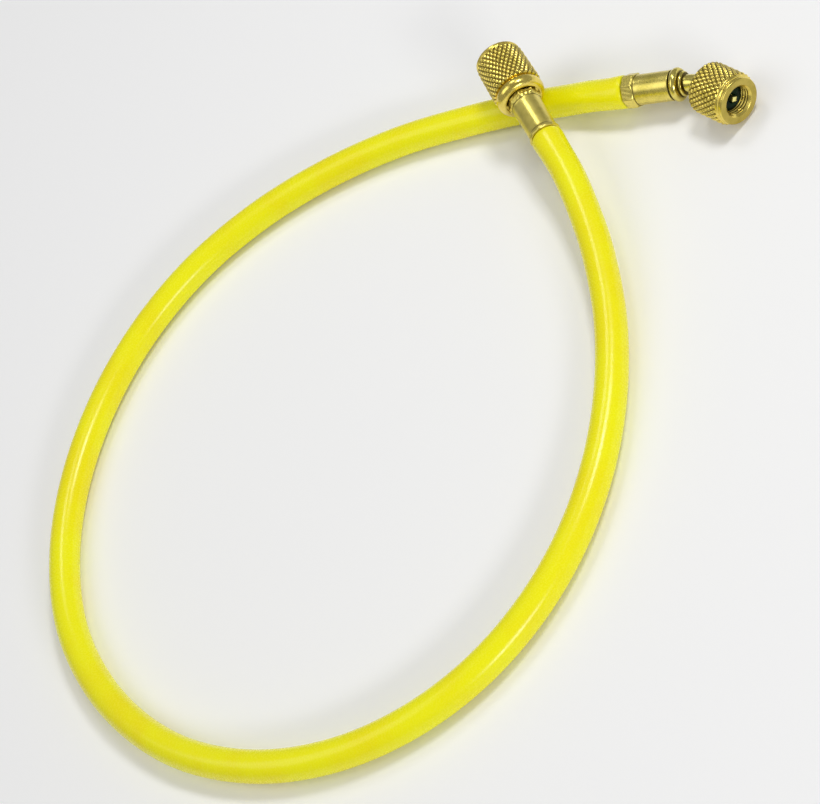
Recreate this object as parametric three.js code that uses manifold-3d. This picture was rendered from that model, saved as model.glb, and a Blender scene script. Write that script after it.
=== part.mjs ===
// A refrigerant charging hose, lying in one loop on a level floor.
// A rubber hose ends in two brass fittings. The straight one has a long knurled nut
// that rests on the hose's own back strand, and the bent one has a short knurled nut
// on a tube that turns 30 degrees. Both nuts turn freely on their stems.
//
// Millimetres, +Z up. The origin is the floor under the middle of the loop.
import * as THREE from "three";
import { mergeVertices } from "three/addons/utils/BufferGeometryUtils.js";
import Module from "manifold-3d";

const wasm = await Module();
wasm.setup();

// Sizes of the hose and of the clearances between pieces
const hoseRadius = 5.85;
const hoseBoreRadius = 2.8; // bored only where a stem's barb goes in
const hoseEndRadius = 4.6; // squeezed inside a ferrule
const gap = 0.3; // between pieces that touch
const overhang = 1; // how far a cutter reaches past what it cuts
const runningGap = 0.4; // between a nut's rear hole and the stem it turns on

// Sizes that both fittings share: a 1/4 in SAE flare coupling, 7/16-20 thread
const threadRadius = 5.0; // the thread's crests
const mouthRadius = 6.15; // the lead-in's rim
const leadInDepth = 1.0;
const knurlRadius = 9.75;
const knurlChamfer = 0.5;
const rimChamfer = 0.4;
const headRadius = 4.6; // the stem's head, held behind the nut's shoulder
const headLength = 2.2;
const sealLength = 1.8; // the seal covers the head's whole front
const sealBoreRadius = 1.7;
const stemRadius = 3.2;
const stemBoreRadius = 1.5;
const barbRadius = 2.5;
const barbStart = 2; // from the ferrule's mouth
const shankReach = 1.5; // how far the shank reaches into the ferrule's end wall
const ferruleEndWall = 1.8;
const crimpFlats = 8;
const crimpRadius = 6.5; // over the corners of the crimped flats
const crimpRise = 0.3; // from the plain barrel to the band under the flats

// The straight fitting, along its axis from the hose's end
const straightFerruleLength = 20.4;
const straightFerruleRadius = 5.7;
const straightLipRadius = 6.1;
const straightLipRounding = 0.5;
const straightLipLength = 1.4;
const straightLipTaper = 0.9;
const straightCrimpLength = 2.4;
const straightCrimpTaper = 1.2;
const straightNutOverlap = 0.4; // how far the nut's rear recess reaches over the ferrule
const straightNutLength = 23.5;
const straightShoulderDepth = 12; // from the mouth to the nut's inner shoulder
const straightBeadLength = 5.2;
const straightBeadRadius = 9.4;
const straightBeadEndRadius = 8.2;
const straightRecessRadius = 6.85;
const straightRecessDepth = 1.3;
const straightKnurlEndRadius = 9.3; // the knurl narrows towards the mouth
const straightRimRadius = 8.95;
const straightRimLength = 1.5;
const straightBandLength = 0.4; // plain step between knurl and rim

// The bent fitting, along its axis from the hose's end to the corner of its bend
const bentFerruleLength = 18.9;
const bentFerruleRadius = 5.65;
const bentCrimpLength = 4.4;
const bentCrimpTaper = 1.1;
const flangeRadius = 6.2;
const flangeLength = 3.1;
const stepRadius = 4.6;
const stepLength = 1.6;
const neckLength = 4.1; // from the step to the corner of the bend
const bendAngle = THREE.MathUtils.degToRad(30);
const bendRadius = 12;
const bentNutStart = 4.9; // from the corner of the bend
const bentNutLength = 17.3;
const bentShoulderDepth = 8.2;
const bentRearRimRadius = 8.6;
const bentRearRimLength = 1.1;
const bentBandRadius = 9.1; // plain step between knurl and rim
const bentBandLength = 1.1;
const bentRimRadius = 8.7;
const bentRimLength = 1.6;
const depressorShankRadius = 1.0;
const depressorShankLength = 4.5;
const depressorHeadRadius = 1.4; // over the corners of its square head
const depressorHeadLength = 2.4;
const depressorReach = 1.3; // how far its tip stands out of the seal

// Where the two fittings lie: each hose end, and the way its axis points
const straightEnd = new THREE.Vector3(100.8, 14.3, 17.7);
const straightHeading = THREE.MathUtils.degToRad(74.15);
const straightRise = THREE.MathUtils.degToRad(8.05);
const bentEnd = new THREE.Vector3(133.2, 7.1, knurlRadius);
const bentHeading = THREE.MathUtils.degToRad(-53.3);

// The hose's route, from the straight fitting to the bent one. Its middle lies on the
// floor, its first end slopes down from the fitting, and its last rises to the fitting.
const route = [
  straightEnd,
  [98.2, 5.2, 16.4],
  [95.3, -4.0, 15.1],
  [89.4, -18.3, 13.0],
  [79.8, -37.5, 10.4],
  [64.0, -61.6, 7.7],
  [42.9, -84.9, 6.2],
  [19.4, -103.4, 5.9],
  [-5.4, -115.9, 5.85],
  [-31.3, -122.2, 5.85],
  [-57.6, -122.1, 5.85],
  [-83.8, -115.1, 5.85],
  [-109.1, -100.6, 5.85],
  [-131.9, -77.5, 5.85],
  [-149.1, -45.2, 5.85],
  [-156.0, -5.7, 5.85],
  [-150.7, 33.7, 5.85],
  [-134.0, 66.8, 5.85],
  [-110.4, 92.2, 5.85],
  [-82.4, 110.2, 5.85],
  [-52.3, 120.4, 5.85],
  [-20.8, 122.6, 5.85],
  [10.5, 116.4, 5.85],
  [40.3, 103.3, 5.85],
  [67.5, 85.0, 5.85],
  [90.3, 63.6, 5.87],
  [108.9, 43.2, 6.0],
  [117.8, 31.2, 6.7],
  [124.6, 20.1, 8.7],
  [128.6, 13.2, 9.6],
  bentEnd,
].map((point) => (point.isVector3 ? point : new THREE.Vector3(...point)));
const hoseSides = 12;
const hoseSteps = 78;
const roundSides = 40;
const smallSides = 24;

const rubber = new THREE.MeshStandardMaterial({
  color: 0xe6df12,
  roughness: 0.5,
  metalness: 0,
});
const brass = new THREE.MeshStandardMaterial({
  color: 0xc9a84a,
  roughness: 0.3,
  metalness: 1,
});
const seal = new THREE.MeshStandardMaterial({
  color: 0x14211a,
  roughness: 0.6,
  metalness: 0,
});

// A solid of revolution about Z from [radius, z] points, which run up the outside.
function turned(profile, sides = roundSides) {
  const points = profile.map(([radius, z]) => new THREE.Vector2(radius, z));
  return new THREE.LatheGeometry(points, sides).rotateX(Math.PI / 2);
}

// A turned ring: its profile closes on itself.
function ring(profile, sides = roundSides) {
  return turned([...profile, profile[0]], sides);
}

// A plain round bar along Z.
function bar(radius, from, to, sides = smallSides) {
  return turned(
    [
      [0, from],
      [radius, from],
      [radius, to],
      [0, to],
    ],
    sides,
  );
}

// A round section carried along a path.
function tube(path, radius, steps, sides) {
  const section = new THREE.Shape();
  for (let side = 0; side < sides; side++) {
    const angle = (2 * Math.PI * side) / sides;
    const point = [radius * Math.cos(angle), radius * Math.sin(angle)];
    if (side === 0) section.moveTo(...point);
    else section.lineTo(...point);
  }
  return new THREE.ExtrudeGeometry(section, { steps, extrudePath: path });
}

// Manifold solids for the joins and cuts
function solid(geometry) {
  const bare = geometry.clone();
  bare.deleteAttribute("normal");
  bare.deleteAttribute("uv");
  const merged = mergeVertices(bare, 1e-4);
  return new wasm.Manifold(
    new wasm.Mesh({
      numProp: 3,
      vertProperties: merged.attributes.position.array,
      triVerts: new Uint32Array(merged.index.array),
    }),
  );
}

function geometryOf(manifold) {
  const { vertProperties, triVerts } = manifold.getMesh();
  const geometry = new THREE.BufferGeometry();
  geometry.setAttribute("position", new THREE.BufferAttribute(vertProperties, 3));
  geometry.setIndex(new THREE.BufferAttribute(triVerts, 1));
  return geometry;
}

function mesh(name, geometry, material) {
  const made = new THREE.Mesh(geometry, material);
  made.name = name;
  return made;
}

// The group of each fitting has Z along its axis, from the hose's end to the nut
const hoseGroup = new THREE.Group();
const straight = new THREE.Group();
const bent = new THREE.Group();
const bentTurn = new THREE.Group(); // Z along the nut, from the corner of the bend

function headingVector(heading, rise) {
  return new THREE.Vector3(
    Math.cos(heading) * Math.cos(rise),
    Math.sin(heading) * Math.cos(rise),
    Math.sin(rise),
  );
}

// X lies level, to the left of the heading, so Y points up or nearly so.
function place(group, position, heading, rise) {
  const forward = headingVector(heading, rise);
  const left = new THREE.Vector3(-Math.sin(heading), Math.cos(heading), 0);
  const up = new THREE.Vector3().crossVectors(forward, left);
  group.position.copy(position);
  group.quaternion.setFromRotationMatrix(
    new THREE.Matrix4().makeBasis(left, up, forward),
  );
  group.quaternion.normalize();
}
place(straight, straightEnd, straightHeading, straightRise);
place(bent, bentEnd, bentHeading, 0);
const flangeStart = bentFerruleLength + gap;
const stepEnd = flangeStart + flangeLength + stepLength;
const cornerDistance = stepEnd + neckLength;
bentTurn.position.set(0, 0, cornerDistance);
bentTurn.rotation.y = -bendAngle; // to the right of the heading
bent.add(bentTurn);

// The crimped flats of a ferrule: an eight-sided band with tapered ends
function crimpBand(from, to, taper, radius) {
  return solid(
    turned(
      [
        [0, from],
        [crimpRadius, from],
        [crimpRadius, to],
        [radius, to + taper],
        [0, to + taper],
      ],
      crimpFlats,
    ),
  );
}

// Inside of a ferrule: wide for the hose, then narrow at its closed end for the stem
function ferruleBore(length) {
  const wideEnd = length - ferruleEndWall;
  const wide = solid(bar(hoseEndRadius + gap, -overhang, wideEnd, roundSides));
  return wide.add(solid(bar(stemRadius + gap, -overhang, length + overhang)));
}

// Straight ferrule: a small lip at the hose, crimped at the nut
const straightCrimpStart = straightFerruleLength - straightCrimpLength;
const straightCrimpEnd = straightFerruleLength - crimpRise;
const straightFerrule = solid(
  turned([
    [0, 0],
    [straightLipRadius - crimpRise, 0],
    [straightLipRadius, straightLipRounding],
    [straightLipRadius, straightLipLength],
    [straightFerruleRadius, straightLipLength + straightLipTaper],
    [straightFerruleRadius, straightCrimpStart - straightCrimpTaper],
    [straightFerruleRadius + crimpRise, straightCrimpStart],
    [straightFerruleRadius + crimpRise, straightFerruleLength],
    [0, straightFerruleLength],
  ]),
)
  .add(
    crimpBand(
      straightCrimpStart,
      straightCrimpEnd,
      crimpRise,
      straightFerruleRadius + crimpRise,
    ),
  )
  .subtract(ferruleBore(straightFerruleLength));
straight.add(mesh("straight_ferrule", geometryOf(straightFerrule), brass));

// Bent ferrule: crimped at the hose, plain at the flange
const bentFerrule = solid(
  turned([
    [0, 0],
    [bentFerruleRadius, 0],
    [bentFerruleRadius, bentFerruleLength],
    [0, bentFerruleLength],
  ]),
)
  .add(
    crimpBand(0, bentCrimpLength, bentCrimpTaper, bentFerruleRadius - crimpRise),
  )
  .subtract(ferruleBore(bentFerruleLength));
bent.add(mesh("bent_ferrule", geometryOf(bentFerrule), brass));

// The inside of a nut, as a cutter, from its rear face to its mouth
function nutBore(rear, mouth, shoulderDepth) {
  const shoulder = mouth - shoulderDepth;
  return solid(
    turned([
      [0, rear - overhang],
      [stemRadius + runningGap, rear - overhang],
      [stemRadius + runningGap, shoulder],
      [threadRadius, shoulder],
      [threadRadius, mouth - leadInDepth],
      [mouthRadius, mouth],
      [mouthRadius, mouth + overhang],
      [0, mouth + overhang],
    ]),
  );
}

// The outside of a nut from where its knurl starts to its mouth
function knurlAndRim(knurlStart, knurlEnd, knurlEndRadius, step, rimRadius, mouth) {
  return [
    [knurlRadius - knurlChamfer, knurlStart],
    [knurlRadius, knurlStart + knurlChamfer],
    [knurlEndRadius, knurlEnd - knurlChamfer],
    [step.radius, knurlEnd],
    [step.radius, knurlEnd + step.length],
    [rimRadius, knurlEnd + step.length],
    [rimRadius, mouth - rimChamfer],
    [rimRadius - rimChamfer, mouth],
    [0, mouth],
  ];
}

// Straight nut: a smooth rounded bead at the hose, a long knurl and a plain rim
const straightNutRear = straightFerruleLength - straightNutOverlap;
const straightMouth = straightNutRear + straightNutLength;
const beadMiddle = straightNutRear + straightBeadLength / 2;
const beadRise = straightBeadRadius - straightBeadEndRadius;
const bead = [-1, -0.85, -0.6, -0.25, 0.25, 0.6, 0.85].map((share) => [
  straightBeadEndRadius + beadRise * Math.sqrt(1 - share * share),
  beadMiddle + (share * straightBeadLength) / 2,
]);
const straightNut = solid(
  turned([
    [0, straightNutRear],
    ...bead,
    ...knurlAndRim(
      straightNutRear + straightBeadLength,
      straightMouth - straightRimLength - straightBandLength,
      straightKnurlEndRadius,
      {
        radius: straightKnurlEndRadius - knurlChamfer,
        length: straightBandLength,
      },
      straightRimRadius,
      straightMouth,
    ),
  ]),
)
  .subtract(nutBore(straightNutRear, straightMouth, straightShoulderDepth))
  .subtract(
    solid(
      bar(
        straightRecessRadius,
        straightNutRear - overhang,
        straightNutRear + straightRecessDepth,
        roundSides,
      ),
    ),
  );
straight.add(mesh("straight_nut", geometryOf(straightNut), brass));

// Bent nut: a plain rear rim, a short knurl and the same mouth
const bentMouth = bentNutStart + bentNutLength;
const bentNut = solid(
  turned([
    [0, bentNutStart],
    [bentRearRimRadius - rimChamfer, bentNutStart],
    [bentRearRimRadius, bentNutStart + rimChamfer],
    ...knurlAndRim(
      bentNutStart + bentRearRimLength,
      bentMouth - bentRimLength - bentBandLength,
      knurlRadius,
      { radius: bentBandRadius, length: bentBandLength },
      bentRimRadius,
      bentMouth,
    ),
  ]),
).subtract(nutBore(bentNutStart, bentMouth, bentShoulderDepth));
bentTurn.add(mesh("bent_nut", geometryOf(bentNut), brass));

// The head of a stem, and the flat seal in front of it
function head(start) {
  return solid(bar(headRadius, start, start + headLength, roundSides));
}

function sealRing(start) {
  return ring(
    [
      [sealBoreRadius, start],
      [headRadius, start],
      [headRadius, start + sealLength],
      [sealBoreRadius, start + sealLength],
    ],
    roundSides,
  );
}

// Straight stem: a barb in the hose, a shank through the ferrule's end and the nut
const straightHeadStart = straightMouth - straightShoulderDepth + gap;
const straightStem = solid(bar(barbRadius, barbStart, straightFerruleLength))
  .add(
    solid(bar(stemRadius, straightFerruleLength - shankReach, straightHeadStart + 1)),
  )
  .add(head(straightHeadStart))
  .subtract(solid(bar(stemBoreRadius, barbStart - overhang, straightMouth)));
straight.add(mesh("straight_stem", geometryOf(straightStem), brass));
straight.add(
  mesh(
    "straight_seal",
    sealRing(straightHeadStart + headLength + gap),
    seal,
  ),
);

// Bent stem: barb, rounded flange and step, then the bent tube and its head
const bendTangent = bendRadius * Math.tan(bendAngle / 2);
const turnDirection = new THREE.Vector3(
  -Math.sin(bendAngle),
  0,
  Math.cos(bendAngle),
);
const corner = new THREE.Vector3(0, 0, cornerDistance);
function bentPath(from, pastCorner) {
  const path = new THREE.CurvePath();
  const bendStart = corner.clone().add(new THREE.Vector3(0, 0, -bendTangent));
  const bendEnd = corner.clone().addScaledVector(turnDirection, bendTangent);
  path.add(new THREE.LineCurve3(new THREE.Vector3(0, 0, from), bendStart));
  path.add(new THREE.QuadraticBezierCurve3(bendStart, corner, bendEnd));
  path.add(
    new THREE.LineCurve3(
      bendEnd,
      corner.clone().addScaledVector(turnDirection, pastCorner),
    ),
  );
  return path;
}
const flangeMiddle = flangeStart + flangeLength / 2;
const flange = [-1, -0.8, -0.4, 0, 0.4, 0.8, 1].map((share) => [
  stepRadius + (flangeRadius - stepRadius) * Math.sqrt(1 - share * share * 0.85),
  flangeMiddle + (share * flangeLength) / 2,
]);
const bentHeadStart = bentMouth - bentShoulderDepth + gap;
const turnedHead = new THREE.Matrix4()
  .makeTranslation(0, 0, cornerDistance)
  .multiply(new THREE.Matrix4().makeRotationY(-bendAngle));
const bentStem = solid(bar(barbRadius, barbStart, bentFerruleLength))
  .add(solid(bar(stemRadius, bentFerruleLength - shankReach, flangeStart + 1)))
  .add(
    solid(
      turned([
        [0, flangeStart],
        ...flange,
        [stepRadius, stepEnd],
        [0, stepEnd],
      ]),
    ),
  )
  .add(
    solid(
      tube(bentPath(flangeStart + 1, bentHeadStart + 1), stemRadius, 14, smallSides),
    ),
  )
  .add(head(bentHeadStart).transform(turnedHead.elements))
  .subtract(
    solid(tube(bentPath(barbStart - overhang, bentMouth), stemBoreRadius, 20, 12)),
  );
bent.add(mesh("bent_stem", geometryOf(bentStem), brass));
const bentSealStart = bentHeadStart + headLength + gap;
bentTurn.add(mesh("bent_seal", sealRing(bentSealStart), seal));

// Depressor: a small pin in the bent stem's bore, which opens the valve of the port that
// the nut is screwed onto. Its square head stands in the seal's hole.
const depressorTip = bentSealStart + sealLength + depressorReach;
const depressorHeadStart = depressorTip - depressorHeadLength;
bentTurn.add(
  mesh(
    "bent_depressor",
    turned(
      [
        [0, depressorHeadStart - depressorShankLength],
        [depressorShankRadius, depressorHeadStart - depressorShankLength],
        [depressorShankRadius, depressorHeadStart],
        [depressorHeadRadius, depressorHeadStart],
        [depressorHeadRadius, depressorTip],
        [0, depressorTip],
      ],
      4,
    ),
    brass,
  ),
);

// Hose: a plain tube along its route, with squeezed, bored ends inside the ferrules
const plugReach = 4; // how far a squeezed end reaches back into the free hose
const faceReach = 2.3; // how far the cut of the free hose's end face reaches
straight.updateMatrix();
bent.updateMatrix();
const curve = new THREE.CatmullRomCurve3(route);
function hoseEnd(group, length) {
  const inner = length - ferruleEndWall - gap;
  const put = (made) => made.transform(group.matrix.elements);
  return {
    plug: put(solid(bar(hoseEndRadius, -plugReach, inner))),
    bore: put(solid(bar(hoseBoreRadius, barbStart - gap, inner + overhang))),
    face: put(solid(bar(2 * hoseRadius, -gap, faceReach))),
  };
}
const straightPlug = hoseEnd(straight, straightFerruleLength);
const bentPlug = hoseEnd(bent, bentFerruleLength);
const hose = solid(tube(curve, hoseRadius, hoseSteps, hoseSides))
  .subtract(straightPlug.face)
  .subtract(bentPlug.face)
  .add(straightPlug.plug)
  .add(bentPlug.plug)
  .subtract(straightPlug.bore)
  .subtract(bentPlug.bore);
hoseGroup.add(mesh("hose", geometryOf(hose), rubber));

const chargingHose = new THREE.Group();
chargingHose.add(hoseGroup, straight, bent);

export default chargingHose;
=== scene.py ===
import math
import bpy
import numpy as np
from mathutils import Matrix


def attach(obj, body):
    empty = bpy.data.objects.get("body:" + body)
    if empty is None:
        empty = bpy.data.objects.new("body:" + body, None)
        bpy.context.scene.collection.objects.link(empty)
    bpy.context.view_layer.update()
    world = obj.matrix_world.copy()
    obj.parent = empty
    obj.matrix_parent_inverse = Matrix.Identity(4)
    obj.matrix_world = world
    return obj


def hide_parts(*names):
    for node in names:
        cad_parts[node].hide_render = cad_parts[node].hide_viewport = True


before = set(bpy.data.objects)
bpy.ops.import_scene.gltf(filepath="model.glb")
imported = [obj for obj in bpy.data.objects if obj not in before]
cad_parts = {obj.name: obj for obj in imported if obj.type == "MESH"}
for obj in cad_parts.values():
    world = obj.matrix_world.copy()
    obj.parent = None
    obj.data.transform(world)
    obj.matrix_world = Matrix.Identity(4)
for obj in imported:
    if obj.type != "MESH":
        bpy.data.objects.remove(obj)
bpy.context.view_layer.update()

# Camera: it looks down on the loop at about 45 degrees from nearly a metre away, and is
# rolled by about 47 degrees, so that the loop stands upright in the picture.
camera_place = (-0.0035, -0.6707, 0.6676)
camera_right = (0.6791, -0.5215, -0.5167)
camera_up = (0.7341, 0.4824, 0.4780)
camera_back = (0.0, -0.7039, 0.7103)
camera_data = bpy.data.cameras.new("camera")
camera_data.sensor_fit = "HORIZONTAL"
camera_data.sensor_width = 36.0
camera_data.lens = 114.15
camera_data.clip_start = 0.05
camera_data.clip_end = 20.0
camera = bpy.data.objects.new("camera", camera_data)
camera.matrix_world = Matrix(
    [
        (camera_right[i], camera_up[i], camera_back[i], camera_place[i])
        for i in range(3)
    ]
    + [(0, 0, 0, 1)]
)
bpy.context.scene.collection.objects.link(camera)
bpy.context.scene.camera = camera

# Hose: one length of rubber tube, sheathed in yellow rubber with a fine leathery skin.
# Its ends are pushed over the barbs of the fittings and squeezed by the ferrules, so it
# swells a little just outside each ferrule.
METRE = 0.001  # all sizes below are in millimetres
straight_heading = 74.15
straight_rise = 8.05
bent_heading = -53.3
sharp_angle = 48.0
hose_radius = 5.85
hose_inner_radius = 2.8
squeezed_radius = 4.6
hose_sides = 64
hose_step = 1.6
hose_in_straight = 18.3
hose_in_bent = 16.8
barb_start = 1.7
face_gap = 0.3
hose_route = np.array(
    [
        (100.8, 14.3, 17.7), (98.2, 5.2, 16.4), (95.3, -4.0, 15.1), (89.4, -18.3, 13.0),
        (79.8, -37.5, 10.4), (64.0, -61.6, 7.7), (42.9, -84.9, 6.2), (19.4, -103.4, 5.9),
        (-5.4, -115.9, 5.85), (-31.3, -122.2, 5.85), (-57.6, -122.1, 5.85),
        (-83.8, -115.1, 5.85), (-109.1, -100.6, 5.85), (-131.9, -77.5, 5.85),
        (-149.1, -45.2, 5.85), (-156.0, -5.7, 5.85), (-150.7, 33.7, 5.85),
        (-134.0, 66.8, 5.85), (-110.4, 92.2, 5.85), (-82.4, 110.2, 5.85),
        (-52.3, 120.4, 5.85), (-20.8, 122.6, 5.85), (10.5, 116.4, 5.85),
        (40.3, 103.3, 5.85), (67.5, 85.0, 5.85), (90.3, 63.6, 5.87), (108.9, 43.2, 6.0),
        (117.8, 31.2, 6.7), (124.6, 20.1, 8.7), (128.6, 13.2, 9.6), (133.2, 7.1, 9.75),
    ]
)


def pointing(heading, rise):
    """The unit vector at that compass heading from +X and that rise above level, in degrees."""
    h = math.radians(heading)
    r = math.radians(rise)
    return np.array([math.cos(h) * math.cos(r), math.sin(h) * math.cos(r), math.sin(r)])


straight_forward = pointing(straight_heading, straight_rise)
bent_forward = pointing(bent_heading, 0.0)


def smooth_route(points, samples):
    """A spline through all the points. Each stretch is a cubic, whose slope at each end is a
    mean of the neighbouring slopes, weighted by the square roots of the distances."""
    first = 2 * points[:1] - points[1:2]
    last = 2 * points[-1:] - points[-2:-1]
    p = np.concatenate([first, points, last])
    root = np.sqrt(np.linalg.norm(np.diff(p, axis=0), axis=1))[:, None]
    p0, p1, p2, p3 = p[:-3], p[1:-2], p[2:-1], p[3:]
    r0, r1, r2 = root[:-2], root[1:-1], root[2:]
    leave = ((p1 - p0) / r0 - (p2 - p0) / (r0 + r1) + (p2 - p1) / r1) * r1
    arrive = ((p2 - p1) / r1 - (p3 - p1) / (r1 + r2) + (p3 - p2) / r2) * r1
    t = np.linspace(0, 1, samples, endpoint=False)[None, :, None]
    p1, p2, leave, arrive = (a[:, None, :] for a in (p1, p2, leave, arrive))
    square = 3 * (p2 - p1) - 2 * leave - arrive
    cube = 2 * (p1 - p2) + leave + arrive
    curve = p1 + leave * t + square * t**2 + cube * t**3
    return np.concatenate([curve.reshape(-1, 3), points[-1:]])


def along(line, stations):
    """Centres and unit directions at those distances along a line of points: both are read
    straight off between the two nearest points."""
    steps = np.diff(line, axis=0)
    lengths = np.linalg.norm(steps, axis=1)
    distance = np.concatenate([[0], np.cumsum(lengths)])
    slopes = np.gradient(line, distance, axis=0)
    centres = np.stack([np.interp(stations, distance, line[:, i]) for i in range(3)], 1)
    ways = np.stack([np.interp(stations, distance, slopes[:, i]) for i in range(3)], 1)
    return centres, ways / np.linalg.norm(ways, axis=1, keepdims=True)


def rings_on_line(line, stations, radii, sides):
    """A grid of circles carried along a line. Each circle stands square to the line, starts
    on its level left side and turns over the top: centre + radius * (left cos a + up sin a)."""
    centres, ways = along(line, stations)
    left = np.cross([0.0, 0.0, 1.0], ways)
    left /= np.linalg.norm(left, axis=1, keepdims=True)
    up = np.cross(ways, left)
    a = np.linspace(0, 2 * np.pi, sides, endpoint=False)[None, :, None]
    radii = np.asarray(radii, float).reshape(len(centres), -1, 1)
    return centres[:, None] + radii * (left[:, None] * np.cos(a) + up[:, None] * np.sin(a))


def softened(profile, cut, closed=False, steps=4):
    """The profile with each corner rounded: the corner gives way to a parabola that leaves
    and meets its two sides at the cut's distance, or at 0.45 of a side that is shorter."""
    p = np.asarray(profile, float)
    before = np.roll(p, 1, axis=0)
    after = np.roll(p, -1, axis=0)
    d0 = np.linalg.norm(p - before, axis=1, keepdims=True)
    d1 = np.linalg.norm(p - after, axis=1, keepdims=True)
    start = p + (before - p) * (np.minimum(cut, 0.45 * d0) / np.maximum(d0, 1e-9))
    end = p + (after - p) * (np.minimum(cut, 0.45 * d1) / np.maximum(d1, 1e-9))
    t = np.linspace(0, 1, steps + 1)[None, :, None]
    s, c, e = start[:, None], p[:, None], end[:, None]
    curve = (1 - t) ** 2 * s + 2 * t * (1 - t) * c + t**2 * e
    if closed:
        return curve.reshape(-1, 2)
    return np.concatenate([p[:1], curve[1:-1].reshape(-1, 2), p[-1:]])


def surface(name, grid, closed, attributes=()):
    """A mesh object, in metres, from a grid of points in millimetres. Columns always join up.
    Rows join up too if closed; otherwise the first and last row are each fanned to a pole in
    their middle. Faces are turned outwards by the sign of the enclosed volume."""
    rows, sides = grid.shape[:2]
    points = grid.reshape(-1, 3) * METRE
    index = np.arange(rows * sides).reshape(rows, sides)
    upper = np.roll(index, -1, axis=0) if closed else index[1:]
    lower = index if closed else index[:-1]
    quads = np.stack(
        [lower, np.roll(lower, -1, axis=1), np.roll(upper, -1, axis=1), upper], -1
    ).reshape(-1, 4)
    a, b, c, d = (points[quads[:, i]] for i in range(4))
    volume = np.einsum("ij,ij->", a, np.cross(b, c)) + np.einsum("ij,ij->", a, np.cross(c, d))
    fans = np.zeros((0, 3), int)
    if not closed:
        poles = np.stack([points[index[0]].mean(0), points[index[-1]].mean(0)])
        first, last = index[0], index[-1]
        fans = np.concatenate(
            [
                np.stack([np.roll(first, -1), first, np.full(sides, len(points))], 1),
                np.stack([last, np.roll(last, -1), np.full(sides, len(points) + 1)], 1),
            ]
        )
        points = np.concatenate([points, poles])
    if volume < 0:
        quads = quads[:, ::-1]
        fans = fans[:, ::-1]
    mesh = bpy.data.meshes.new(name)
    mesh.from_pydata(points, [], quads.tolist() + fans.tolist())
    for label, values in attributes:
        layer = mesh.attributes.new(label, "FLOAT", "POINT")
        full = np.zeros(len(points), np.float32)
        full[: rows * sides] = values.ravel()
        layer.data.foreach_set("value", full)
    mesh.polygons.foreach_set("use_smooth", np.ones(len(mesh.polygons), bool))
    mesh.set_sharp_from_angle(angle=math.radians(sharp_angle))
    mesh.update()
    made = bpy.data.objects.new(name, mesh)
    bpy.context.scene.collection.objects.link(made)
    return made


route_samples = 40
free_line = smooth_route(hose_route, route_samples)
free_length = np.linalg.norm(np.diff(free_line, axis=0), axis=1).sum()
run_in = 40.0
hose_line = np.concatenate(
    [
        [hose_route[0] + straight_forward * run_in],
        free_line,
        [hose_route[-1] + bent_forward * run_in],
    ]
)
swell_end = 12.0
swell = np.array(
    [
        (face_gap, 5.2), (0.45, 5.7), (0.9, 6.0), (1.8, 6.15), (3.4, 6.1), (7.0, 5.92),
        (swell_end, hose_radius),
    ]
)
middle_start = 13.0
free_count = int((free_length - 2 * swell_end) / hose_step)
middle = np.linspace(middle_start, free_length - middle_start, free_count)
hose_profile = np.concatenate(
    [
        [
            (-barb_start, hose_inner_radius),
            (-hose_in_straight, hose_inner_radius),
            (-hose_in_straight, squeezed_radius),
            (0.0, squeezed_radius),
            (face_gap, squeezed_radius),
        ],
        swell,
        np.stack([middle, np.full(free_count, hose_radius)], 1),
        np.stack([free_length - swell[::-1, 0], swell[::-1, 1]], 1),
        [
            (free_length - face_gap, squeezed_radius),
            (free_length, squeezed_radius),
            (free_length + hose_in_bent, squeezed_radius),
            (free_length + hose_in_bent, hose_inner_radius),
            (free_length + barb_start, hose_inner_radius),
        ],
    ]
)
hose = surface(
    "rubber_hose",
    rings_on_line(hose_line, hose_profile[:, 0] + run_in, hose_profile[:, 1], hose_sides),
    closed=False,
)


def add_node(tree, kind, settings=None, **inputs):
    """A shader node with its settings, and with its sockets set or linked by name."""
    made = tree.nodes.new(kind)
    for key, value in (settings or {}).items():
        setattr(made, key, value)
    for key, value in inputs.items():
        socket = made.inputs[key.replace("_", " ")]
        if isinstance(value, bpy.types.NodeSocket):
            tree.links.new(value, socket)
        else:
            socket.default_value = value
    return made


def new_finish(name):
    """A material with its tree, its Principled shader and a source of Object coordinates."""
    material = bpy.data.materials.new(name)
    material.use_nodes = True
    tree = material.node_tree
    shader = next(n for n in tree.nodes if n.type == "BSDF_PRINCIPLED")
    place = add_node(tree, "ShaderNodeTexCoord").outputs["Object"]
    return material, tree, shader, place


def blend_colours(tree, share, first, second):
    """The colour output of a mix node that goes from first to second with the share."""
    made = add_node(tree, "ShaderNodeMix", {"data_type": "RGBA"})
    for number, value in ((0, share), (6, first), (7, second)):
        if isinstance(value, bpy.types.NodeSocket):
            tree.links.new(value, made.inputs[number])
        else:
            made.inputs[number].default_value = value
    return made.outputs[2]


def ramp(tree, value, low, high, to_low=0.0, to_high=1.0):
    """The value's stretch from low to high, spread smoothly over to_low to to_high."""
    made = add_node(
        tree,
        "ShaderNodeMapRange",
        {"interpolation_type": "SMOOTHSTEP"},
        Value=value,
        From_Min=low,
        From_Max=high,
        To_Min=to_low,
        To_Max=to_high,
    )
    return made.outputs["Result"]


def arithmetic(tree, operation, *values):
    """The output of a math node, with its values set or linked in order."""
    made = add_node(tree, "ShaderNodeMath", {"operation": operation})
    for number, value in enumerate(values):
        if isinstance(value, bpy.types.NodeSocket):
            tree.links.new(value, made.inputs[number])
        else:
            made.inputs[number].default_value = value
    return made.outputs[0]


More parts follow.
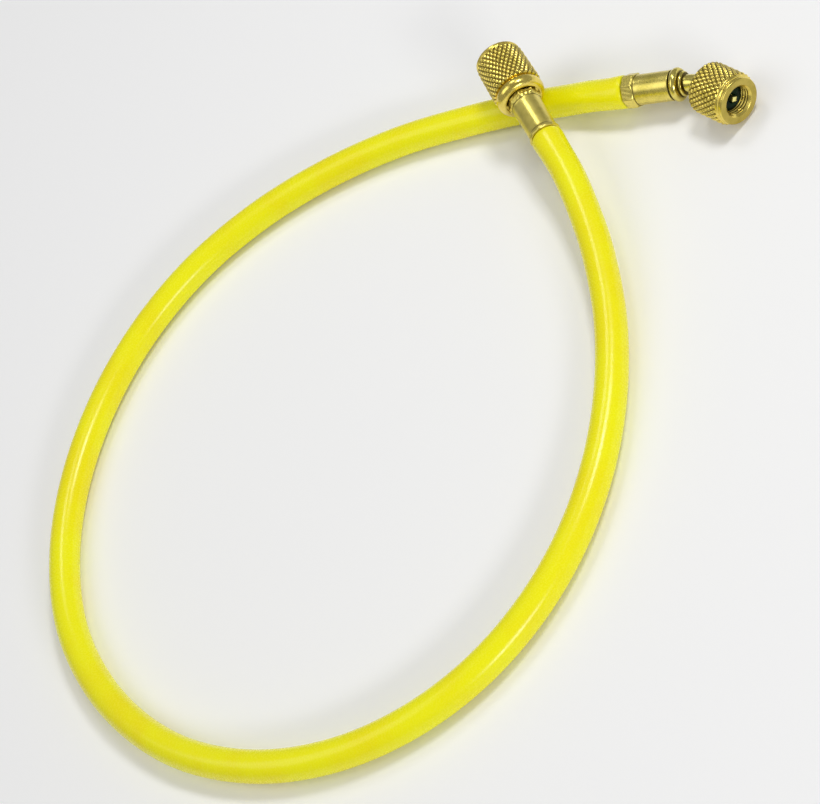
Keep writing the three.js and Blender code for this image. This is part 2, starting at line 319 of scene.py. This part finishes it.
hose_yellow = (0.93, 0.90, 0.002, 1)
hose_deep_yellow = (0.92, 0.81, 0.002, 1)
hose_finish, tree, shader, place = new_finish("yellow hose rubber")
patches = add_node(tree, "ShaderNodeTexNoise", Vector=place, Scale=38.0, Detail=3.0).outputs["Fac"]
shade = ramp(tree, patches, 0.35, 0.7)
tree.links.new(
    blend_colours(tree, shade, hose_yellow, hose_deep_yellow), shader.inputs["Base Color"]
)
peel = add_node(
    tree,
    "ShaderNodeTexNoise",
    Vector=place,
    Scale=1500.0,
    Detail=2.0,
    Roughness=0.5,
    Distortion=0.4,
).outputs["Fac"]
creases = add_node(
    tree,
    "ShaderNodeTexVoronoi",
    {"feature": "SMOOTH_F1"},
    Vector=place,
    Scale=1900.0,
    Smoothness=0.7,
).outputs["Distance"]
peel_share = 0.8
grain = arithmetic(tree, "MULTIPLY_ADD", peel, peel_share, creases)
bump = add_node(tree, "ShaderNodeBump", Strength=0.2, Distance=0.00012, Height=grain)
tree.links.new(bump.outputs[0], shader.inputs["Normal"])
tree.links.new(ramp(tree, peel, 0.3, 0.7, 0.2, 0.32), shader.inputs["Roughness"])
shader.inputs["Specular IOR Level"].default_value = 0.35
shader.inputs["Coat Weight"].default_value = 0.1
shader.inputs["Coat Roughness"].default_value = 0.15
hose.data.materials.append(hose_finish)
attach(hose, "hose_body")
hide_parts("hose")

# Straight ferrule: a brass sleeve drawn over the hose's end and crimped. Its mouth is rolled
# out into a small rippled lip, its barrel is polished, and the crimping tool has left a band
# of uneven, hammered flats next to the nut.
ferrule_sides = 192
straight_line = np.array([hose_route[0], hose_route[0] + straight_forward * 60])
straight_ferrule_profile = [
    (0.0, 4.9), (0.0, 5.75), (0.25, 6.08), (1.0, 6.1), (1.7, 5.9), (2.1, 5.68), (2.7, 5.62),
    (6.0, 5.62), (12.0, 5.66), (16.2, 5.7), (17.2, 5.8), (18.2, 5.98), (20.05, 5.98),
    (20.4, 5.7), (20.4, 3.5), (18.6, 3.5), (18.6, 4.9),
]
straight_apothems = [6.08, 5.8, 6.12, 5.9, 6.0, 5.82, 6.12, 5.88]
straight_flats_turn = 0.3
straight_hammer_depth = 0.12
straight_crimp_rise = (16.6, 17.9)
straight_lip_fall = (1.3, 2.3)
straight_crevices = [2.0, 17.1, 20.4]
straight_crevice_width = 0.3
crimp_radius = 5.98
crimp_corner = 6.5
ferrule_outside = 5.3  # a ferrule's bore lies within this radius, and its outside beyond


def smooth_step(values, low, high):
    """0 below low, 1 above high, and 3t^2 - 2t^3 in between, where t is the share of the way."""
    t = np.clip((values - low) / (high - low), 0, 1)
    return t * t * (3 - 2 * t)


def flats(apothems, corner_radius, sides, turn):
    """Radii round a crimped section: on each flat its apothem over the cosine of the angle
    from its middle, and nowhere more than corner_radius."""
    count = len(apothems)
    a = np.linspace(0, count, sides, endpoint=False) + turn
    nearest = np.round(a).astype(int)
    across = np.asarray(apothems)[nearest % count] / np.cos((a - nearest) * 2 * np.pi / count)
    return np.minimum(across, corner_radius)


def refined(profile, cut, longest):
    """A closed profile of (station, radius) with its corners rounded by the cut, and with
    points added evenly on its long sides, so that no step is much over longest."""
    p = softened(profile, cut, closed=True)
    p = np.concatenate([p, p[:1]])
    lengths = np.linalg.norm(np.diff(p, axis=0), axis=1)
    distance = np.concatenate([[0], np.cumsum(lengths)])
    extra = np.arange(0, distance[-1], longest)
    keep = np.unique(np.round(np.concatenate([distance[:-1], extra]), 3))
    keep = keep[np.concatenate([[True], np.diff(keep) > 0.02])]
    return np.stack([np.interp(keep, distance, p[:, i]) for i in range(2)], 1)


def ferrule_radii(profile, sides, flat_radii, share, hammer):
    """Radii of a ferrule: its turned radius, and in the crimped band a blend by share towards
    the flats, with a hammering of crossed waves. Its bore keeps the turned radius."""
    stations, radii = profile[:, :1], profile[:, 1:]
    a = np.linspace(0, 2 * np.pi, sides, endpoint=False)[None, :]
    outside = (radii > ferrule_outside).astype(float)
    share = share[:, None] * outside
    edge = np.minimum(radii, crimp_radius) - crimp_radius
    waves = hammer * np.sin(9 * a + 2.1 * stations) * np.sin(14 * a - 3.3 * stations + 1.0)
    return radii * (1 - share) + (flat_radii[None, :] + edge + waves) * share


def crevices(profile, places, width, least_radius):
    """How deep in a crevice each row of a profile lies: the highest of the bell curves of that
    width about each place, and 0 where the radius is less than least_radius. The depth only
    sets painted shade in the colour, through the groove attribute."""
    away = (profile[:, :1] - np.asarray(places)[None, :]) / width
    return (np.exp(-away * away).max(axis=1) * (profile[:, 1] > least_radius))[:, None]


profile = refined(straight_ferrule_profile, 0.3, 0.45)
share = smooth_step(profile[:, 0], *straight_crimp_rise)
flat_radii = flats(straight_apothems, crimp_corner, ferrule_sides, straight_flats_turn)
radii = ferrule_radii(profile, ferrule_sides, flat_radii, share, straight_hammer_depth)
around = np.linspace(0, 2 * np.pi, ferrule_sides, endpoint=False)[None, :]
lip = (profile[:, 1] > ferrule_outside) * (1 - smooth_step(profile[:, 0], *straight_lip_fall))
radii += lip[:, None] * (0.09 * np.sin(8 * around + 0.6) + 0.05 * np.sin(13 * around))
# Painted shade in the crevices at the lip, at the crimp and at the sleeve's end.
depths = 0.75 * crevices(profile, straight_crevices, straight_crevice_width, ferrule_outside)
straight_ferrule = surface(
    "straight_ferrule_sleeve",
    rings_on_line(straight_line, profile[:, 0], radii, ferrule_sides),
    closed=True,
    attributes=[("groove", depths * np.ones_like(radii))],
)


def new_group(name, inputs, outputs):
    """An empty shader group with the named sockets, and its entry and exit nodes."""
    group = bpy.data.node_groups.new(name, "ShaderNodeTree")
    for label, kind in inputs:
        group.interface.new_socket(label, in_out="INPUT", socket_type=kind)
    for label, kind in outputs:
        group.interface.new_socket(label, in_out="OUTPUT", socket_type=kind)
    entry = add_node(group, "NodeGroupInput")
    way_out = add_node(group, "NodeGroupOutput")
    return group, entry.outputs, way_out.inputs


brass_tone, given, result = new_group(
    "brass_tone",
    [
        ("Place", "NodeSocketVector"),
        ("Bright", "NodeSocketColor"),
        ("Olive", "NodeSocketColor"),
        ("Groove", "NodeSocketFloat"),
        ("Roughness", "NodeSocketFloat"),
    ],
    [("Colour", "NodeSocketColor"), ("Roughness", "NodeSocketFloat")],
)
patches = add_node(
    brass_tone,
    "ShaderNodeTexNoise",
    Vector=given["Place"],
    Scale=190.0,
    Detail=4.0,
    Roughness=0.6,
).outputs["Fac"]
specks = add_node(
    brass_tone, "ShaderNodeTexNoise", Vector=given["Place"], Scale=1700.0, Detail=2.0
).outputs["Fac"]
worn = ramp(brass_tone, patches, 0.4, 0.72)
handled = blend_colours(brass_tone, worn, given["Bright"], given["Olive"])
# Tarnish and painted shade: this dark brown is mixed in by the groove depth, so it darkens the
# knurl's hollows, the thread's roots, the crevices, the crimp's corners and the nuts' mouth faces.
painted_shade_and_tarnish = (0.05, 0.028, 0.001, 1)
shade_and_tarnish_share = 0.92
tarnish_roughness = 0.25
sunk = ramp(brass_tone, given["Groove"], 0.22, 0.88)
shade_and_tarnish_amount = arithmetic(brass_tone, "MULTIPLY", sunk, shade_and_tarnish_share)
brass_tone.links.new(blend_colours(brass_tone, shade_and_tarnish_amount, handled, painted_shade_and_tarnish), result["Colour"])
speckled = ramp(brass_tone, specks, 0.35, 0.8, 0.0, 0.1)
grained = arithmetic(brass_tone, "ADD", given["Roughness"], speckled)
brass_tone.links.new(
    arithmetic(brass_tone, "MULTIPLY_ADD", sunk, tarnish_roughness, grained), result["Roughness"]
)

lathe_rings, given, result = new_group(
    "lathe_rings",
    [("Place", "NodeSocketVector"), ("Axis", "NodeSocketVector"), ("Fineness", "NodeSocketFloat")],
    [("Height", "NodeSocketFloat")],
)
on_axis = add_node(lathe_rings, "ShaderNodeVectorMath", {"operation": "DOT_PRODUCT"})
lathe_rings.links.new(given["Place"], on_axis.inputs[0])
lathe_rings.links.new(given["Axis"], on_axis.inputs[1])
rings = add_node(
    lathe_rings,
    "ShaderNodeTexNoise",
    {"noise_dimensions": "1D"},
    W=on_axis.outputs["Value"],
    Scale=given["Fineness"],
    Detail=2.0,
).outputs["Fac"]
lathe_rings.links.new(rings, result["Height"])


def brass_finish(name, axis, bright, olive, roughness, ring_depth, fineness, groove=None):
    """A brass material: the tone group colours it, and the lathe's rings about the axis, of
    that depth in millimetres, bump it. groove names the attribute that darkens its hollows
    with tarnish and painted shade."""
    material, tree, shader, place = new_finish(name)
    tone = add_node(
        tree,
        "ShaderNodeGroup",
        {"node_tree": brass_tone},
        Place=place,
        Bright=bright,
        Olive=olive,
        Roughness=roughness,
    )
    if groove:
        depth = add_node(tree, "ShaderNodeAttribute", {"attribute_name": groove}).outputs["Fac"]
        tree.links.new(depth, tone.inputs["Groove"])
    marks = add_node(
        tree,
        "ShaderNodeGroup",
        {"node_tree": lathe_rings},
        Place=place,
        Axis=tuple(axis),
        Fineness=fineness,
    ).outputs["Height"]
    bump = add_node(tree, "ShaderNodeBump", Strength=0.5, Distance=ring_depth * METRE, Height=marks)
    tree.links.new(bump.outputs[0], shader.inputs["Normal"])
    tree.links.new(tone.outputs["Colour"], shader.inputs["Base Color"])
    tree.links.new(tone.outputs["Roughness"], shader.inputs["Roughness"])
    shader.inputs["Metallic"].default_value = 1.0
    return material


brass_bright = (0.80, 0.67, 0.17, 1)
brass_olive = (0.64, 0.54, 0.11, 1)
straight_ferrule.data.materials.append(
    brass_finish(
        "crimped brass, straight",
        straight_forward,
        brass_bright,
        brass_olive,
        roughness=0.3,
        ring_depth=0.02,
        fineness=1500.0,
        groove="groove",
    )
)
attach(straight_ferrule, "hose_body")
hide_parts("straight_ferrule")

# Straight stem: turned from brass bar and bored through. Its barb holds the hose inside the
# ferrule, and its head holds the nut, which turns freely on its shank.
stem_sides = 64
straight_mouth = 43.5
straight_stem_profile = [
    (2.0, 1.5), (2.0, 2.1), (4.0, 2.5), (4.2, 2.2), (6.5, 2.5), (6.7, 2.2), (9.0, 2.5), (9.2, 2.2),
    (11.5, 2.5), (18.9, 2.5), (18.9, 3.2), (31.8, 3.2), (31.8, 4.6), (34.0, 4.6), (34.0, 1.5),
]
profile = refined(straight_stem_profile, 0.15, 0.8)
straight_stem = surface(
    "straight_stem_turned",
    rings_on_line(straight_line, profile[:, 0], profile[:, 1], stem_sides),
    closed=True,
)
straight_stem.data.materials.append(
    brass_finish(
        "turned brass, straight",
        straight_forward,
        brass_bright,
        brass_olive,
        roughness=0.2,
        ring_depth=0.03,
        fineness=2200.0,
    )
)
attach(straight_stem, "hose_body")
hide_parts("straight_stem")

# Straight seal: a moulded ring of dark green-black rubber that covers the front of the
# stem's head. Its raised bead meets the flare of the port.
seal_profile = [
    (0.0, 1.7), (0.0, 4.6), (1.35, 4.6), (1.55, 4.4), (1.55, 4.1), (1.8, 3.8), (1.8, 3.3),
    (1.5, 2.9), (1.5, 2.3), (1.7, 2.1), (1.7, 1.8),
]
straight_seal_start = 34.3
seal_black = (0.002, 0.006, 0.002, 1)
seal_green = (0.005, 0.03, 0.006, 1)


def seal_rings(line, start):
    """The grid of a seal: its ring profile, moved along the line to its start."""
    ring_profile = refined(seal_profile, 0.15, 0.4)
    return rings_on_line(line, ring_profile[:, 0] + start, ring_profile[:, 1], stem_sides)


def seal_finish(name):
    """Dark rubber with a faint green tint in patches, and a fine dull grain."""
    material, tree, shader, place = new_finish(name)
    noise = add_node(tree, "ShaderNodeTexNoise", Vector=place, Scale=420.0, Detail=3.0)
    clouds = noise.outputs["Fac"]
    tint = blend_colours(tree, ramp(tree, clouds, 0.35, 0.7), seal_black, seal_green)
    tree.links.new(tint, shader.inputs["Base Color"])
    tree.links.new(ramp(tree, clouds, 0.3, 0.7, 0.38, 0.55), shader.inputs["Roughness"])
    dust = add_node(tree, "ShaderNodeTexNoise", Vector=place, Scale=3500.0, Detail=2.0)
    bump = add_node(
        tree, "ShaderNodeBump", Strength=0.3, Distance=0.00004, Height=dust.outputs["Fac"]
    )
    tree.links.new(bump.outputs[0], shader.inputs["Normal"])
    shader.inputs["Specular IOR Level"].default_value = 0.2
    return material


straight_seal = surface(
    "straight_seal_ring", seal_rings(straight_line, straight_seal_start), closed=True
)
straight_seal.data.materials.append(seal_finish("seal rubber, straight"))
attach(straight_seal, "hose_body")
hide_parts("straight_seal")

# Straight nut: turned from one brass bar, with a smooth rounded bead at the hose, a rolled
# diamond knurl that narrows a little towards the mouth, a bevelled mouth ring, and a
# 7/16-20 thread inside.
knurl_teeth = 30
knurl_lead = 2.915
knurl_depth = 0.72
knurl_top_radius = 9.75
knurl_chamfer = 0.5
steps_per_tooth = 12
nut_sides = knurl_teeth * steps_per_tooth
thread_pitch = 1.27
rings_per_pitch = 8
thread_crest_share = 0.12
thread_flank_share = 0.76
thread_relief = (0.6, 1.3)
overlap = 0.05
# Painted shade in the bore, where the lead-in cone and the relief cut the thread away.
cut_painted_shade = 0.3
thread_crest = 5.0
thread_depth = 0.55
mouth_radius = 6.15
lead_in_depth = 1.15
# Painted shade on the face of the mouth.
mouth_painted_shade = 0.52
mouth_flat = 0.2


def knurled(start, end, start_radius, end_radius):
    """Stations, radii and groove depths of a knurled barrel. Two sets of helical grooves
    cross. A point's nearness to each set is 0 midway between two grooves and 1 in one. With
    both squared, it sinks by half the greater and a quarter of each, so the crossings are
    pits between rounded bumps. Both ends are chamfered at 45 degrees."""
    count = int(round((end - start) / knurl_lead * steps_per_tooth)) + 1
    stations = np.linspace(start, end, count)
    a = np.linspace(0, knurl_teeth, nut_sides, endpoint=False)[None, :]
    z = (stations[:, None] - start) / knurl_lead
    one = (1 - 2 * np.abs(a + z - np.round(a + z))) ** 2
    other = (1 - 2 * np.abs(a - z - np.round(a - z))) ** 2
    groove = 0.5 * np.maximum(one, other) + 0.25 * (one + other)
    blank = np.linspace(start_radius, end_radius, len(stations))[:, None]
    from_end = np.minimum(stations - start, end - stations)[:, None]
    radii = np.minimum(blank - knurl_depth * groove, blank - knurl_chamfer + from_end)
    return stations, radii, groove


def threaded(mouth, shoulder):
    """Stations, radii and groove depths of a threaded bore, from the mouth inwards. The
    thread's radius rises from its crest to its groove and back once a pitch, along a
    right-handed helix, and the lead-in cone at the mouth and the plain relief at the shoulder
    cut through it. The groove depth, which paints shade into the colour, is 1 at the bottom
    of the thread's groove, and a set, smaller share where the cone or the relief has cut the
    thread away."""
    count = int(round((mouth - shoulder) / thread_pitch * rings_per_pitch))
    stations = np.linspace(mouth - overlap, shoulder + overlap, count)
    a = np.linspace(0, 1, nut_sides, endpoint=False)[None, :]
    w = stations[:, None] / thread_pitch - a
    t = 2 * np.abs(w - np.round(w))
    groove = np.clip((t - thread_crest_share) / thread_flank_share, 0, 1)
    radii = thread_crest + thread_depth * groove
    cone = mouth_radius - (mouth_radius - thread_crest) * (mouth - stations) / lead_in_depth
    fading = smooth_step(stations, shoulder + thread_relief[0], shoulder + thread_relief[1])
    relief = thread_crest + thread_depth * (1 - fading)
    bore = np.maximum(radii, np.maximum(cone, relief)[:, None])
    return stations, bore, np.where(bore > radii + overlap, cut_painted_shade, groove)


def nut_surface(name, line, rear, knurl, front, thread, inside):
    """A nut as one closed grid of rings: its rear, its knurl, its front and mouth, its thread
    and the rest of its bore. rear, front and inside are profiles of (station, radius). The
    face of the mouth, within mouth_flat of its end, is given a set groove depth, which paints
    shade on it as on a groove that deep."""
    parts = []
    for piece in (rear, knurl, front, thread, inside):
        if isinstance(piece, tuple):
            parts.append(piece)
        else:
            rows = np.asarray(piece, float)
            parts.append((rows[:, 0], np.repeat(rows[:, 1:], nut_sides, axis=1)))
    stations = np.concatenate([part[0] for part in parts])
    radii = np.concatenate([part[1] for part in parts])
    depths = np.concatenate(
        [part[2] if len(part) > 2 else np.zeros_like(part[1]) for part in parts]
    )
    at_mouth = (stations > stations.max() - mouth_flat)[:, None]
    depths = np.maximum(depths, mouth_painted_shade * at_mouth)
    grid = rings_on_line(line, stations, radii, nut_sides)
    return surface(name, grid, closed=True, attributes=[("groove", depths)])


straight_rear = 20.0
straight_shoulder = 31.5
shank_bore = 3.6
bead_length = 5.2
bead_ring_radius = 7.0
bead_half_height = 2.4
straight_knurl_start = straight_rear + bead_length
straight_knurl_end = straight_mouth - 1.9
bead_turn = np.linspace(-1.5, 1.05, 29)
bead_rise = np.sin(bead_turn) - np.sin(bead_turn[0])
bead = np.stack(
    [
        straight_rear + bead_length * bead_rise / bead_rise[-1],
        bead_ring_radius + bead_half_height * np.cos(bead_turn),
    ],
    1,
)
straight_front = softened(
    [
        (straight_knurl_end, 8.8),
        (straight_knurl_end + 0.15, 8.62),
        (straight_knurl_end + 0.4, 8.72),
        (straight_knurl_end + 0.5, 8.95),
        (straight_mouth - 0.6, 8.95),
        (straight_mouth, 8.45),
        (straight_mouth, 6.35),
        (straight_mouth - overlap, mouth_radius),
    ],
    0.18,
)
straight_inside = softened(
    [
        (straight_shoulder, 5.5), (straight_shoulder, shank_bore), (21.3, shank_bore),
        (21.3, 6.85), (straight_rear, 6.85), (straight_rear, 7.1),
    ],
    0.15,
)
straight_nut = nut_surface(
    "straight_knurled_nut",
    straight_line,
    bead,
    knurled(straight_knurl_start, straight_knurl_end, knurl_top_radius, 9.3),
    straight_front,
    threaded(straight_mouth, straight_shoulder),
    straight_inside,
)
nut_bright = (0.88, 0.70, 0.16, 1)
nut_olive = (0.68, 0.54, 0.10, 1)
straight_nut.data.materials.append(
    brass_finish(
        "knurled brass, straight",
        straight_forward,
        nut_bright,
        nut_olive,
        roughness=0.2,
        ring_depth=0.02,
        fineness=2400.0,
        groove="groove",
    )
)
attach(straight_nut, "straight_nut_body")
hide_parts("straight_nut")

# Bent ferrule: the same kind of sleeve, but crimped at the hose: eight flats, whose corners
# stand out, end in a short taper. The barrel is brushed round and butts on the flange.
bent_line_reach = 60
bent_corner_distance = 28.0
bend_angle = 30.0
bend_radius = 12.0
bent_tangent = bend_radius * math.tan(math.radians(bend_angle / 2))
nut_forward = pointing(bent_heading - bend_angle, 0.0)
bent_corner = hose_route[-1] + bent_forward * bent_corner_distance
t = np.linspace(0, 1, 41)[:, None]
bend_start = bent_corner - bent_forward * bent_tangent
bend_end = bent_corner + nut_forward * bent_tangent
bend = (1 - t) ** 2 * bend_start + 2 * t * (1 - t) * bent_corner + t**2 * bend_end
bent_line = np.concatenate([[hose_route[-1]], bend, [bend_end + nut_forward * bent_line_reach]])
nut_line = np.array([bent_corner, bent_corner + nut_forward * bent_line_reach])
bent_ferrule_profile = [
    (0.0, 4.9), (0.0, 5.7), (0.3, 5.98), (4.2, 5.98), (4.8, 5.66), (5.4, 5.6), (8.0, 5.58),
    (14.0, 5.6), (18.7, 5.62), (18.9, 5.45), (18.9, 3.5), (17.1, 3.5), (17.1, 4.9),
]
bent_apothems = [6.06, 5.98, 6.1, 5.95, 6.08, 6.0, 6.05, 5.96]
bent_hammer_depth = 0.035
bent_crimp_fall = (4.1, 4.8)
bent_ferrule_crevices = [0.0, 4.8, 18.9]
bent_crevice_width = 0.28
flat_edge_depth = 0.75
profile = refined(bent_ferrule_profile, 0.25, 0.45)
share = 1 - smooth_step(profile[:, 0], *bent_crimp_fall)
flat_radii = flats(bent_apothems, crimp_corner, ferrule_sides, 0.0)
radii = ferrule_radii(profile, ferrule_sides, flat_radii, share, bent_hammer_depth)
# Painted shade along the corners between the crimp's flats, and in the crevices at the sleeve's two
# ends and at the end of the crimp.
flat_number = np.linspace(0, len(bent_apothems), ferrule_sides, endpoint=False)[None, :]
flat_edges = (2 * np.abs(flat_number - np.round(flat_number))) ** 8
crimped = (profile[:, 1:] > ferrule_outside) * share[:, None]
depths = np.maximum(
    crevices(profile, bent_ferrule_crevices, bent_crevice_width, ferrule_outside),
    flat_edge_depth * flat_edges * crimped,
)
bent_ferrule = surface(
    "bent_ferrule_sleeve",
    rings_on_line(bent_line, profile[:, 0], radii, ferrule_sides),
    closed=True,
    attributes=[("groove", 0.8 * depths)],
)
bent_ferrule.data.materials.append(
    brass_finish(
        "crimped brass, bent",
        bent_forward,
        brass_bright,
        brass_olive,
        roughness=0.27,
        ring_depth=0.03,
        fineness=1800.0,
        groove="groove",
    )
)
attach(bent_ferrule, "hose_body")
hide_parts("bent_ferrule")

# Bent stem: turned from brass bar, bored through and then bent by 30 degrees. A rounded
# flange stops the ferrule, a smaller rounded step ring follows, and the polished neck
# carries the head that holds the nut.
bend_length = np.linalg.norm(np.diff(bend, axis=0), axis=1).sum()
past_corner = bent_corner_distance - 2 * bent_tangent + bend_length
bent_stem_crevices = [19.2, 22.4, 24.0]
bent_stem_bore_limit = 3.0
bent_stem_profile = [
    (2.0, 1.5), (2.0, 2.1), (4.0, 2.5), (4.2, 2.2), (6.5, 2.5), (6.7, 2.2), (9.0, 2.5), (9.2, 2.2),
    (11.5, 2.5), (17.4, 2.5), (17.4, 3.2), (19.2, 3.2), (19.2, 5.1), (19.3, 5.4),
    (19.55, 5.75), (19.95, 6.0), (20.45, 6.17), (20.95, 6.17), (21.45, 6.0), (21.9, 5.65),
    (22.15, 5.2), (22.3, 4.45), (22.5, 4.3), (22.75, 4.5), (23.1, 4.6), (23.4, 4.56),
    (23.7, 4.35), (23.9, 3.9), (24.0, 3.2),
    (25.0, 3.15), (past_corner + 6.0, 3.15), (past_corner + 14.3, 3.2), (past_corner + 14.3, 4.6),
    (past_corner + 16.5, 4.6), (past_corner + 16.5, 1.5),
]
profile = refined(bent_stem_profile, 0.15, 0.3)
# Painted shade in the crevices at the flange, between the flange and the step ring, and at the
# neck.
depths = crevices(profile, bent_stem_crevices, bent_crevice_width, bent_stem_bore_limit)
bent_stem = surface(
    "bent_stem_turned",
    rings_on_line(bent_line, profile[:, 0], profile[:, 1], stem_sides),
    closed=True,
    attributes=[("groove", np.repeat(depths, stem_sides, axis=1))],
)
bent_stem.data.materials.append(
    brass_finish(
        "turned brass, bent",
        bent_forward,
        brass_bright,
        brass_olive,
        roughness=0.17,
        ring_depth=0.01,
        fineness=1800.0,
        groove="groove",
    )
)
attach(bent_stem, "hose_body")
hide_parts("bent_stem")

# Bent seal: the same moulded ring of dark green-black rubber as in the straight fitting. It
# lies against the front of the bent stem's head, with the depressor through its middle.
bent_seal_start = 16.8
bent_seal = surface("bent_seal_ring", seal_rings(nut_line, bent_seal_start), closed=True)
bent_seal.data.materials.append(seal_finish("seal rubber, bent"))
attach(bent_seal, "hose_body")
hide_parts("bent_seal")

# Depressor: a brass pin with a square head in the middle of the bent seal. It pushes a
# port's valve open when the nut is screwed on.
depressor_sides = 32
depressor_rows = np.array(
    [
        (13.0, 0.55), (13.2, 0.68), (17.4, 0.68), (17.5, 0.72), (17.55, 0.98), (19.6, 0.98),
        (19.8, 0.93), (19.9, 0.8), (19.9, 0.3),
    ]
)
depressor_corner = 1.36
square = flats([1.0] * 4, depressor_corner, depressor_sides, 0.5)
radii = depressor_rows[:, 1:] * square[None, :]
depressor = surface(
    "valve_depressor",
    rings_on_line(nut_line, depressor_rows[:, 0], radii, depressor_sides),
    closed=False,
)
# Painted light: the pin's brass is much lighter than the other brass, to make up for the shade it
# lies in inside the nut.
pin_painted_light = (1.0, 0.95, 0.4, 1)
pin_painted_light_deep = (0.95, 0.88, 0.3, 1)
depressor.data.materials.append(
    brass_finish(
        "brass pin, painted light",
        nut_forward,
        pin_painted_light,
        pin_painted_light_deep,
        roughness=0.3,
        ring_depth=0.01,
        fineness=2000.0,
    )
)
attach(depressor, "hose_body")
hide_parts("bent_depressor")

# Bent nut: turned from the same bar as the straight one, but short, with a small plain rear
# rim, a plain step before its flat mouth rim, and the same knurl and thread.
bent_mouth = 22.2
bent_rear = 4.9
bent_shoulder = 14.0
bent_knurl_start = bent_rear + 1.1
bent_knurl_end = bent_mouth - 2.7
bent_nut_rear = softened(
    [
        (bent_rear, 7.9),
        (bent_rear, 8.2),
        (bent_rear + 0.4, 8.6),
        (bent_knurl_start - 0.25, 8.6),
        (bent_knurl_start, 8.8),
    ],
    0.2,
)
bent_front = softened(
    [
        (bent_knurl_end, 9.15),
        (bent_knurl_end + 0.1, 9.1),
        (bent_mouth - 1.75, 9.1),
        (bent_mouth - 1.6, 8.95),
        (bent_mouth - 1.5, 8.6),
        (bent_mouth - 1.35, 8.7),
        (bent_mouth - 0.35, 8.7),
        (bent_mouth, 8.35),
        (bent_mouth, 6.35),
        (bent_mouth - overlap, mouth_radius),
    ],
    0.16,
)
bent_inside = softened(
    [(bent_shoulder, 5.5), (bent_shoulder, shank_bore), (bent_rear, shank_bore), (bent_rear, 7.8)],
    0.2,
)
bent_nut = nut_surface(
    "bent_knurled_nut",
    nut_line,
    bent_nut_rear,
    knurled(bent_knurl_start, bent_knurl_end, knurl_top_radius, knurl_top_radius),
    bent_front,
    threaded(bent_mouth, bent_shoulder),
    bent_inside,
)
bent_nut.data.materials.append(
    brass_finish(
        "knurled brass, bent",
        nut_forward,
        nut_bright,
        nut_olive,
        roughness=0.2,
        ring_depth=0.02,
        fineness=2400.0,
        groove="groove",
    )
)
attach(bent_nut, "bent_nut_body")
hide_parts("bent_nut")

# Floor: a wide, plain and pale studio floor, level with the lowest side of the hose. It is
# only there for the picture and isn't part of the object.
floor_size = 6.0
floor_mesh = bpy.data.meshes.new("floor")
corner = floor_size / 2
floor_mesh.from_pydata(
    [(-corner, -corner, 0), (corner, -corner, 0), (corner, corner, 0), (-corner, corner, 0)],
    [],
    [(0, 1, 2, 3)],
)
floor = bpy.data.objects.new("floor", floor_mesh)
bpy.context.scene.collection.objects.link(floor)
floor_finish, _, shader, _ = new_finish("studio floor")
shader.inputs["Base Color"].default_value = (0.97, 0.97, 0.97, 1)
shader.inputs["Roughness"].default_value = 0.9
shader.inputs["Specular IOR Level"].default_value = 0.1
floor_mesh.materials.append(floor_finish)

# Studio light: a soft pale surround and four soft boxes. The key and the back light stand
# over the two fittings' side of the loop, the front one is low, and the fill is the widest.
surround_strength = 0.33
scene = bpy.context.scene
scene.view_settings.view_transform = "Standard"
world = bpy.data.worlds.new("surround")
world.use_nodes = True
background = next(n for n in world.node_tree.nodes if n.type == "BACKGROUND")
background.inputs["Color"].default_value = (1, 1, 1, 1)
background.inputs["Strength"].default_value = surround_strength
scene.world = world


def soft_box(name, place, target, width, height, power):
    """A rectangular area light at place that faces the target, with its width level. Its
    sizes are in metres and its power is in watts."""
    data = bpy.data.lights.new(name, "AREA")
    data.shape = "RECTANGLE"
    data.size = width
    data.size_y = height
    data.energy = power
    made = bpy.data.objects.new(name, data)
    away = np.array(place, float) - np.array(target, float)
    away /= np.linalg.norm(away)
    side = np.cross([0.0, 0.0, 1.0], away)
    side /= np.linalg.norm(side)
    over = np.cross(away, side)
    made.matrix_world = Matrix(
        [(side[i], over[i], away[i], place[i]) for i in range(3)] + [(0, 0, 0, 1)]
    )
    bpy.context.scene.collection.objects.link(made)


soft_box("key_light", (0.7, -0.14, 1.06), (0, 0, 0), width=0.3, height=0.24, power=4.6)
soft_box("back_light", (0.4, 0.5, 1.1), (0, 0, 0), width=0.3, height=0.3, power=1.8)
soft_box("front_light", (0.05, -1.28, 0.5), (0, 0, 0), width=0.5, height=0.16, power=5.0)
soft_box("fill_light", (-0.7, 0.3, 1.2), (0, 0, 0), width=0.9, height=0.9, power=3.4)
